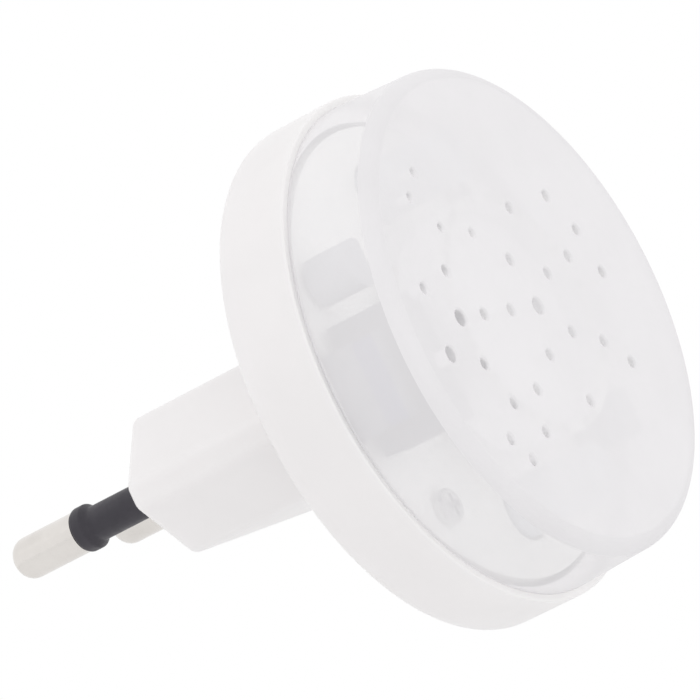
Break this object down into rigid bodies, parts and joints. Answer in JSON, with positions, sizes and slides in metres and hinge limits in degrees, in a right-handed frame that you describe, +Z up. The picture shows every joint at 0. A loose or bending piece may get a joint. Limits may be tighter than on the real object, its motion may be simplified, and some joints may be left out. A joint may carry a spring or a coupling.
{
  "type": "ultrasonic pest repeller",
  "caption": "Plug-in ultrasonic pest repeller: round two-shell case with a frosted, pierced front cap on a flat plug with sleeved round pins.",
  "frame": {"origin": "middle of the plug end face, the plane that seats on the socket", "axes": "+Y along the plug into the socket, +Z up, +X to the right seen from the front; the pierced face looks along -Y"},
  "size_m": [0.0498, 0.0558, 0.0498],
  "materials": {
    "case_white": "satin moulded",
    "carrier_ivory": "moulded",
    "cap_frosted": "translucent, finely frosted",
    "nickel": "nickel plated, polished",
    "sleeve_black": "satin moulded",
    "wire_brown": "smooth",
    "wire_blue": "smooth",
    "screw_steel": "zinc plated",
    "board_white": "white mask on glass laminate",
    "ferrite": "ground, dark grey",
    "bobbin_grey": "moulded",
    "coil_tape": "polyester tape",
    "tinned_copper": "tinned",
    "horn_pale": "moulded",
    "foam_white": "closed-cell foam",
    "diaphragm_foil": "rolled, white lacquered",
    "ceramic_white": "fired ceramic, silvered",
    "wire_white": "smooth",
    "film_box": "moulded box",
    "can_aluminium": "drawn",
    "seal_rubber": "moulded",
    "can_sleeve": "shrink sleeve",
    "resistor_coat": "lacquered",
    "varistor_coat": "dipped epoxy",
    "mould_black": "moulded epoxy",
    "timing_sleeve": "shrink sleeve",
    "lamp_clear": "clear epoxy",
    "chip_black": "glazed",
    "chip_tan": "fired",
    "solder": "reflowed"
  },
  "bodies": {
    "root": {"rear_housing": "case_white", "pin_carrier": "carrier_ivory", "front_cap": "cap_frosted", "plug_pin_left": "nickel", "plug_pin_right": "nickel", "pin_sleeve_left": "sleeve_black", "pin_sleeve_right": "sleeve_black", "mains_wire_left": "wire_brown", "mains_wire_right": "wire_blue", "case_screws": "screw_steel", "board_screws": "screw_steel", "circuit_board": "board_white", "transformer_core": "ferrite", "transformer_bobbin": "bobbin_grey", "transformer_coil": "coil_tape", "transformer_pins": "tinned_copper", "transducer_horn": "horn_pale", "transducer_gasket": "foam_white", "transducer_diaphragm": "diaphragm_foil", "transducer_ceramic": "ceramic_white", "transducer_wires": "wire_white", "film_capacitor": "film_box", "film_capacitor_leads": "tinned_copper", "smoothing_capacitor_can": "can_aluminium", "smoothing_capacitor_seal": "seal_rubber", "smoothing_capacitor_sleeve": "can_sleeve", "smoothing_capacitor_leads": "tinned_copper", "fusible_resistor": "resistor_coat", "fusible_resistor_leads": "tinned_copper", "varistor": "varistor_coat", "varistor_leads": "tinned_copper", "driver_transistors": "mould_black", "driver_transistor_legs": "tinned_copper", "timing_capacitor": "timing_sleeve", "timing_capacitor_leads": "tinned_copper", "lamp_lens": "lamp_clear", "lamp_legs": "tinned_copper", "control_chip": "mould_black", "control_chip_legs": "tinned_copper", "bridge_rectifier": "mould_black", "bridge_rectifier_legs": "tinned_copper", "chip_resistors": "chip_black", "chip_capacitors": "chip_tan", "chip_part_terminals": "solder", "solder_joints": "solder"}
  },
  "joints": []
}
